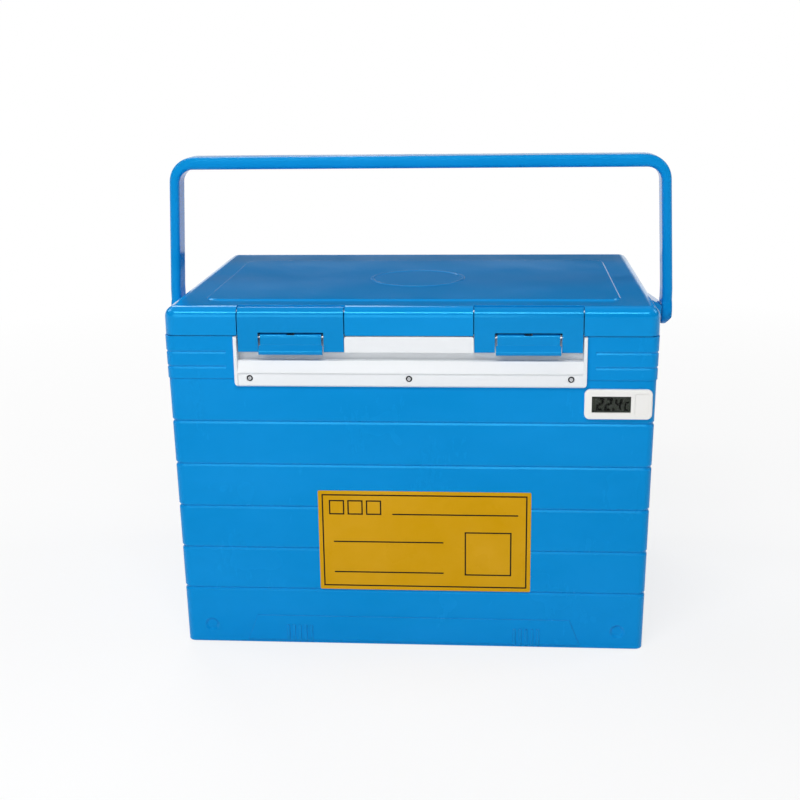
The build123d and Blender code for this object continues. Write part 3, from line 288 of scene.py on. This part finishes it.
def metal(name, colour, roughness=0.28, brushed=(1, 90, 90)):
    """Drawn or turned steel with fine lines along one direction and a little tarnish."""
    finish = Finish(name, colour, roughness, Metallic=1.0)
    base = linear(colour)
    stain = finish.range(finish.noise(120.0, detail=5.0, roughness=0.65), (0.45, 0.75), (0.0, 0.7))
    finish.set("Base Color", finish.mix(stain, base, scaled(base, 0.72)))
    lines = finish.noise(60.0, roughness=0.6, stretch=brushed)
    finish.set("Roughness", finish.range(lines, (0.3, 0.7), (roughness - 0.08, roughness + 0.12)))
    finish.surface([(lines, 0.15, 0.00003)], round_edges=0.0002)
    return finish.material


def rubber(name, colour):
    """Soft moulded rubber: matt, with a dusty bloom."""
    finish = Finish(name, colour, 0.72, Specular_IOR_Level=0.3)
    base = linear(colour)
    bloom = finish.range(finish.noise(45.0, detail=5.0, roughness=0.6), (0.45, 0.8), (0.0, 0.8))
    finish.set("Base Color", finish.mix(bloom, base, scaled(base, 1.0, 0.035)))
    finish.surface([(finish.noise(900.0, detail=2.0), 0.25, 0.0001)], round_edges=0.0004)
    return finish.material


def foam(name, colour):
    """Rigid closed-cell foam: fine cells with a pitted skin; the cells are darkened as painted shade by
    their depth.
    """
    finish = Finish(name, colour, 0.9, Specular_IOR_Level=0.2)
    base = linear(colour)
    cells = finish.node("ShaderNodeTexVoronoi", Vector=finish.place, Scale=900.0).outputs["Distance"]
    # painted shade: the cells' colour darkens with their depth
    depth = finish.range(cells, (0.0, 0.5), (0.0, 0.6))
    finish.set("Base Color", finish.mix(depth, base, scaled(base, 0.8)))
    finish.surface([(cells, 0.4, 0.0004)])
    return finish.material


def film(name, colour):
    """Printed vinyl film: smooth and slightly glossy, with faint waves from the wall below."""
    finish = Finish(name, colour, 0.30, Specular_IOR_Level=0.12, Specular_Tint=film_gloss)
    base = linear(colour)
    patch = finish.range(finish.noise(14.0, detail=5.0, roughness=0.6), (0.35, 0.7))
    finish.set("Base Color", finish.mix(patch, whitened(base, 0.012), scaled(base, 0.93)))
    finish.set("Roughness", finish.range(finish.noise(30.0, detail=4.0), (0.3, 0.7), (0.24, 0.38)))
    waves = finish.noise(22.0, detail=2.0)
    skin = finish.noise(2200.0, detail=1.0)
    finish.surface([(waves, 0.10, 0.0012), (skin, 0.05, 0.00005)])
    return finish.material


def clear_window(name, colour):
    """Clear flat acrylic: transparent, with a soft gloss."""
    finish = Finish(name, colour, 0.04, Alpha=0.05, Specular_IOR_Level=0.5)
    finish.set("Roughness", finish.range(finish.noise(150.0, detail=5.0), (0.55, 0.8), (0.03, 0.10)))
    return finish.material


def display_cell(name, colour):
    """Liquid crystal cell: dull grey-green glass with slightly darker patches."""
    finish = Finish(name, colour, 0.45, Specular_IOR_Level=0.1)
    base = linear(colour)
    patch = finish.range(finish.noise(70.0), (0.35, 0.7))
    finish.set("Base Color", finish.mix(patch, base, scaled(base, 0.78)))
    finish.surface([(finish.noise(3000.0, detail=1.0), 0.05, 0.00002)])
    return finish.material


def reading_ink(name, colour):
    """Dead black of the segments that are switched on."""
    finish = Finish(name, colour, 0.7, Specular_IOR_Level=0.0)
    finish.surface([(finish.noise(2500.0, detail=1.0), 0.05, 0.00002)])
    return finish.material


def printed_ink(name, colour, ground):
    """Printing ink through which the film shows where it is worn."""
    finish = Finish(name, colour, 0.5, Specular_IOR_Level=0.1)
    worn = finish.range(finish.noise(400.0, detail=4.0, roughness=0.7), (0.62, 0.80), (0.0, 0.3))
    finish.set("Base Color", finish.mix(worn, linear(colour), linear(ground)))
    return finish.material


def floor_paper(name):
    """White paper that keeps the box's shadow; camera and reflections see mostly its own plain white."""
    finish = Finish(name, (255, 255, 255), 0.85, Specular_IOR_Level=0.1)
    finish.set("Base Color", floor_white)
    finish.surface([(finish.noise(300.0, detail=2.0), 0.05, 0.0002)])
    rays = finish.node("ShaderNodeLightPath").outputs
    seen = finish.math("MAXIMUM", rays["Is Camera Ray"], rays["Is Glossy Ray"])
    seen = finish.math("MAXIMUM", seen, rays["Is Transmission Ray"])
    reach = finish.node("ShaderNodeVectorMath", Vector=finish.place)
    reach.operation = "LENGTH"
    share = finish.range(reach.outputs["Value"], floor_span, floor_own)
    white = finish.node("ShaderNodeEmission", Color=(1, 1, 1, 1), Strength=1.0)
    mixer = finish.node("ShaderNodeMixShader", Fac=finish.math("MULTIPLY", seen, share))
    finish.feed(mixer.inputs[1], finish.shader.outputs[0])
    finish.feed(mixer.inputs[2], white.outputs[0])
    finish.feed(finish.tree.nodes["Material Output"].inputs["Surface"], mixer.outputs[0])
    return finish.material


plastics = {
    "body_blue": dict(colour=blue, roughness=0.25),
    "lid_blue": dict(colour=blue, roughness=0.12, grain=0.02, gloss=0.65),
    "hinge_blue": dict(colour=blue, roughness=0.38),
    "latch_blue": dict(colour=latch_blue, roughness=0.14, grain=0.03, edge=0.0005, gloss=0.65),
    "tab_blue": dict(colour=latch_blue, roughness=0.14, grain=0.03, edge=0.0005, gloss=0.65),
    "handle_blue": dict(colour=handle_blue, roughness=0.16, grain=0.03, wear=0.2, edge=0.005, gloss=0.25),
    "trim_white": dict(colour=trim_white, roughness=0.30, variation=0.015, wear=0.1, rub=0.3),
    "liner_white": dict(colour=liner_white, roughness=0.26, grain=0.05, variation=0.01, wear=0.05, rub=0.2),
    "meter_white": dict(colour=meter_white, roughness=0.28, grain=0.05, variation=0.012, wear=0.08, rub=0.3),
    "meter_cover": dict(colour=(214, 216, 216), roughness=0.4),
    "lead_black": dict(colour=(30, 30, 31), roughness=0.5),
    "board_green": dict(colour=(18, 104, 60), roughness=0.4),
}
metals = {
    "cell_steel": dict(colour=(200, 202, 204), brushed=(60, 1, 60)),
    "probe_steel": dict(colour=(196, 198, 200), brushed=(90, 1, 90)),
    "screw_steel": dict(colour=(205, 207, 210), roughness=0.34, brushed=(40, 40, 40)),
    # dark colour of the screw rims is painted shade: the dark ring round each head
    "screw_rim_painted_shade": dict(colour=(50, 52, 56), roughness=0.42, brushed=(40, 40, 40)),
    "pin_steel": dict(colour=(198, 200, 202)),
    "pivot_steel": dict(colour=(176, 178, 182), brushed=(1, 60, 60)),
    "spring_steel": dict(colour=(170, 172, 176)),
}
materials = {
    "foam": foam("foam", (240, 232, 196)),
    "gasket_rubber": rubber("gasket_rubber", (42, 42, 44)),
    "grommet_rubber": rubber("grommet_rubber", (30, 30, 31)),
    "label_yellow": film("label_yellow", label_yellow),
    "sticker_ink": printed_ink("sticker_ink", ink_black, label_yellow),
    "meter_lens": clear_window("meter_lens", window_grey),
    "meter_display": display_cell("meter_display", display_grey),
    "segment_black": reading_ink("segment_black", segment_black),
    "floor_paper": floor_paper("floor_paper"),
}
materials.update({name: moulded(name, **look) for name, look in plastics.items()})
materials.update({name: metal(name, **look) for name, look in metals.items()})
for part in frame["record"]["subparts"]:
    data = frame["nodes"][part["node"]].data
    data.materials.clear()
    data.materials.append(materials[part["material_slot"]])


# -------------------------------------------------- helpers for new pieces
def placed(name, mesh, finish, smooth=True):
    """Links a bmesh to the scene as a named object."""
    data = bpy.data.meshes.new(name)
    mesh.to_mesh(data)
    mesh.free()
    data.materials.append(materials[finish])
    for face in data.polygons:
        face.use_smooth = smooth
    made = bpy.data.objects.new(name, data)
    bpy.context.scene.collection.objects.link(made)
    return made


def piece(name, mesh, finish, smooth=True):
    """Named piece that rides on the body."""
    made = placed(name, mesh, finish, smooth)
    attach(made, "body")
    return made


def ring(mesh, matrix, radius, height, sides):
    """Vertices round the z axis of a local frame."""
    turns = [2 * pi * n / sides for n in range(sides)]
    return [mesh.verts.new(matrix @ Vector((radius * cos(t), radius * sin(t), height))) for t in turns]


def join_rings(mesh, rings):
    """Band of faces between each ring of vertices and the next."""
    for near, far in zip(rings, rings[1:]):
        for n in range(len(near)):
            following = (n + 1) % len(near)
            mesh.faces.new((near[n], far[n], far[following], near[following]))


def join_middle(mesh, middle, first):
    """Fan of faces from a middle vertex to the first ring round it."""
    for n in range(len(first)):
        mesh.faces.new((middle, first[n], first[(n + 1) % len(first)]))


def wall_frame(origin, side=-1):
    """Local frame on the front (-1) or back (1) wall: x along it, y up it, z outwards."""
    along = Vector((-side, 0, 0))
    outwards = Vector((0, side * cos(wall_draft), -sin(wall_draft)))
    up = outwards.cross(along)
    matrix = Matrix((along, up, outwards)).transposed().to_4x4()
    matrix.translation = origin
    return matrix


def front_frame(node):
    """Local frame on the outer face of a flat node on the front wall."""
    low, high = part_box(node)
    middle = (low + high) / 2
    height = high.z - low.z
    thickness = (high.y - low.y - height * sin(wall_draft)) / cos(wall_draft)
    return wall_frame(middle + wall_frame(middle).to_3x3() @ Vector((0, 0, thickness / 2)))


def add_plate(mesh, matrix, corners, low, high):
    """Closed plate with the given outline between two heights of a local frame."""
    bottom = [mesh.verts.new(matrix @ Vector((x, y, low))) for x, y in corners]
    top = [mesh.verts.new(matrix @ Vector((x, y, high))) for x, y in corners]
    mesh.faces.new(list(reversed(bottom)))
    mesh.faces.new(top)
    join_rings(mesh, (top, bottom))


def rectangle(x, y, wide, tall):
    """Corners of a rectangle round a middle."""
    left, right = x - wide / 2, x + wide / 2
    bottom, top = y - tall / 2, y + tall / 2
    return [(left, bottom), (right, bottom), (right, top), (left, top)]


# -------------------------------------------------- reading on the thermometer
def segment_outline(letter):
    """Mitred bar of a seven-segment digit, in the digit's own frame."""
    wide, tall, deep = digit_width / 2, digit_height / 2, digit_stroke
    gap = deep * segment_gap
    if letter == "g":
        near, far = wide - deep - gap, wide - deep / 2 - gap
        half = [(-far, 0.0), (-near, deep / 2), (near, deep / 2)]
        return half + [(-x, -y) for x, y in half]
    up = 1 if letter in "abf" else -1
    if letter in "ad":
        outer, inner = wide - gap, wide - deep - gap
        outer_y, inner_y = up * tall, up * (tall - deep)
        return [(-outer, outer_y), (outer, outer_y), (inner, inner_y), (-inner, inner_y)]
    across = 1 if letter in "bc" else -1
    return [
        (across * wide, up * (tall - gap)),
        (across * wide, up * gap),
        (across * (wide - deep / 2), up * gap),
        (across * (wide - deep), up * (deep / 2 + gap)),
        (across * (wide - deep), up * (tall - deep - gap)),
    ]


def slanted(corners, shift, drop=0.0, size=1.0):
    """Outline leaned to the right, scaled and moved to its place on the display."""
    return [(shift + size * (x + digit_slant * y), drop + size * y) for x, y in corners]


def degree_ring(mesh, matrix, x, y, radius):
    """Small ring made of flat blocks."""
    bore = radius * degree_bore
    for n in range(degree_sides):
        arc = [2 * pi * n / degree_sides, 2 * pi * (n + 1) / degree_sides]
        outer = [(x + radius * cos(a), y + radius * sin(a)) for a in arc]
        inner = [(x + bore * cos(a), y + bore * sin(a)) for a in reversed(arc)]
        add_plate(mesh, matrix, outer + inner, *ink_height)


def show_reading():
    """The digits 22.4 with a small degree ring and C, on the liquid crystal cell."""
    matrix = front_frame("thermometer_display")
    mesh = bmesh.new()
    for shift, digit in zip(digit_places, "224"):
        for letter in segments_of[digit]:
            add_plate(mesh, matrix, slanted(segment_outline(letter), shift), *ink_height)
    point_y = (digit_stroke - digit_height) / 2
    add_plate(mesh, matrix, rectangle(point_place, point_y, digit_stroke, digit_stroke), *ink_height)
    drop = (unit_size - 1) * digit_height / 2
    for letter in segments_of["C"]:
        outline = slanted(segment_outline(letter), unit_place + digit_width / 4, drop, unit_size)
        add_plate(mesh, matrix, outline, *ink_height)
    degree_y = drop + degree_lift * digit_height
    degree_ring(mesh, matrix, unit_place - digit_width / 2, degree_y, digit_stroke / 2)
    piece("thermometer_reading", mesh, "segment_black", smooth=False)


show_reading()


# -------------------------------------------------- sticker's printed frame and ruled lines
def frame_lines(width, height, stroke):
    """Four bars (middle, width, height) of a rectangular frame."""
    bars = []
    for sign in (-1, 1):
        bars.append((0.0, sign * (height - stroke) / 2, width, stroke))
        bars.append((sign * (width - stroke) / 2, 0.0, stroke, height - 2 * stroke))
    return bars


def print_sticker():
    """Generic form on the sticker: a frame, empty boxes and lines to write on, with no words or signs."""
    low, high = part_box("label")
    width, height = high.x - low.x, (high.z - low.z) / cos(wall_draft)
    bars = frame_lines(width - 2 * film_border, height - 2 * film_border, print_line)
    for left, right, drop in form_rules:
        bars.append(((left + right - width) / 2, height / 2 - drop, right - left, print_line))
    for centre, drop, side in form_boxes:
        for x, y, wide, tall in frame_lines(side, side, print_line):
            bars.append((centre - width / 2 + x, height / 2 - drop + y, wide, tall))
    mesh = bmesh.new()
    matrix = front_frame("label")
    for bar in bars:
        add_plate(mesh, matrix, rectangle(*bar), 0.0, print_rise)
    piece("label_print", mesh, "sticker_ink", smooth=False)


print_sticker()


# -------------------------------------------------- cross-headed screws
def cross_share(x, y, radius):
    """Share of the recess's depth at a point of a head: 0 outside the cross, 1 on its floor."""
    half = radius * cross_half
    off_arm = min(abs(x), abs(y)) - half
    to_end = radius * cross_reach - hypot(x, y)
    return clamped(0.5 - off_arm / (half * cross_side)) * clamped(to_end / (half * cross_end))


def screw_head(mesh, matrix, radius, rise):
    """Slightly domed middle of a screw's head with a cross recess."""
    depth = rise * cross_depth
    middle = mesh.verts.new(matrix @ Vector((0, 0, rise - depth)))
    rings = []
    for step in range(1, screw_rings + 1):
        share = step / screw_rings
        dome = rise * (1 - screw_dome * share ** 2)
        row = []
        for turn in range(screw_sides):
            angle = 2 * pi * turn / screw_sides
            x, y = radius * share * cos(angle), radius * share * sin(angle)
            row.append(mesh.verts.new(matrix @ Vector((x, y, dome - depth * cross_share(x, y, radius)))))
        rings.append(row)
    join_middle(mesh, middle, rings[0])
    join_rings(mesh, rings)


def screw_rim_painted_shade(mesh, matrix, inner, outer, rise):
    """Sloping rim of the head, down to its seat."""
    radii = (inner, outer * screw_shoulder, outer, outer)
    rings = [ring(mesh, matrix, r, rise * height, screw_sides) for r, height in zip(radii, rim_heights)]
    mesh.faces.new(list(reversed(rings[-1])))
    join_rings(mesh, rings)


def loose_parts(node):
    """Boxes (low, high) of the separate solids in a node, from left to right."""
    data = bmesh.new()
    data.from_mesh(frame["nodes"][node].data)
    bmesh.ops.remove_doubles(data, verts=data.verts, dist=1e-6)
    left = set(data.verts)
    boxes = []
    while left:
        group, grow = set(), [left.pop()]
        while grow:
            vert = grow.pop()
            group.add(vert)
            for edge in vert.link_edges:
                other = edge.other_vert(vert)
                if other in left:
                    left.discard(other)
                    grow.append(other)
        low = Vector([min(v.co[n] for v in group) for n in range(3)])
        high = Vector([max(v.co[n] for v in group) for n in range(3)])
        boxes.append((low, high))
    data.free()
    return sorted(boxes, key=lambda box: box[0].x)


def dress_screws(node, side, rise):
    """Cross-headed screws in place of a node's plain ones, each with a rim coloured dark as painted shade
    round the head.
    """
    heads, painted_shade_rims = bmesh.new(), bmesh.new()
    for low, high in loose_parts(node):
        radius = (high.x - low.x) / 2
        outer = low.y if side < 0 else high.y
        seat = Vector(((low.x + high.x) / 2, outer, (low.z + high.z) / 2))
        matrix = wall_frame(seat, side) @ Matrix.Translation((0, 0, -rise))
        screw_head(heads, matrix, radius * screw_flat, rise)
        screw_rim_painted_shade(painted_shade_rims, matrix, radius * screw_flat, radius, rise)
    made = piece(node + "_heads", heads, "screw_steel")
    # the rims' dark colour is painted shade round each head
    piece(node + "_rims", painted_shade_rims, "screw_rim_painted_shade")
    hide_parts(node)


dress_screws("trim_screws", -1, trim_screw_rise)
dress_screws("hinge_screws", 1, hinge_screw_rise)


# -------------------------------------------------- floor, world, lights, camera
def floor_dish():
    """Round white floor that curves up into a low rim."""
    profile = [(radius, 0.0) for radius in floor_rings]
    for step in range(1, rim_steps + 1):
        angle = pi / 2 * step / rim_steps
        profile.append((floor_reach + rim_radius * sin(angle), rim_radius * (1 - cos(angle))))
    profile.append((floor_reach + rim_radius, rim_top))
    mesh = bmesh.new()
    middle = mesh.verts.new((0, 0, 0))
    rings = [ring(mesh, Matrix(), radius, height, floor_sides) for radius, height in profile]
    join_middle(mesh, middle, rings[0])
    join_rings(mesh, rings)
    placed("floor", mesh, "floor_paper")


def world_light():
    """Dim band round the horizon below a brighter ceiling."""
    world = bpy.data.worlds.new("studio")
    bpy.context.scene.world = world
    world.use_nodes = True
    nodes, links = world.node_tree.nodes, world.node_tree.links
    place = nodes.new("ShaderNodeTexCoord")
    split = nodes.new("ShaderNodeSeparateXYZ")
    links.new(place.outputs["Generated"], split.inputs[0])
    ramp = nodes.new("ShaderNodeMapRange")
    ramp.interpolation_type = "SMOOTHSTEP"
    for name, number in zip(range_sockets, (horizon_top, overhead_start, horizon_light, overhead_light)):
        ramp.inputs[name].default_value = number
    links.new(split.outputs["Z"], ramp.inputs["Value"])
    background = nodes["Background"]
    background.inputs["Color"].default_value = (1, 1, 1, 1)
    links.new(ramp.outputs[0], background.inputs["Strength"])


def soft_light(name, place, aim, size, power):
    """Rectangular lamp that faces a point."""
    data = bpy.data.lights.new(name, "AREA")
    data.shape = "RECTANGLE"
    data.size, data.size_y = size
    data.energy = power
    lamp = bpy.data.objects.new(name, data)
    lamp.location = place
    lamp.rotation_euler = (Vector(aim) - Vector(place)).to_track_quat("-Z", "Y").to_euler()
    bpy.context.scene.collection.objects.link(lamp)


def aim_camera():
    """Camera at the photograph's place and angle."""
    data = bpy.data.cameras.new("camera")
    data.lens = camera_lens
    data.sensor_width = camera_sensor
    camera = bpy.data.objects.new("camera", data)
    camera.matrix_world = (
        Matrix.Translation(camera_place)
        @ Matrix.Rotation(radians(-camera_yaw), 4, "Z")
        @ Matrix.Rotation(radians(90 - camera_pitch), 4, "X")
        @ Matrix.Rotation(radians(camera_roll), 4, "Z")
    )
    bpy.context.scene.collection.objects.link(camera)
    bpy.context.scene.camera = camera


floor_dish()
world_light()
for lamp in lamps:
    soft_light(*lamp)
aim_camera()

bpy.context.scene.view_settings.view_transform = "Standard"
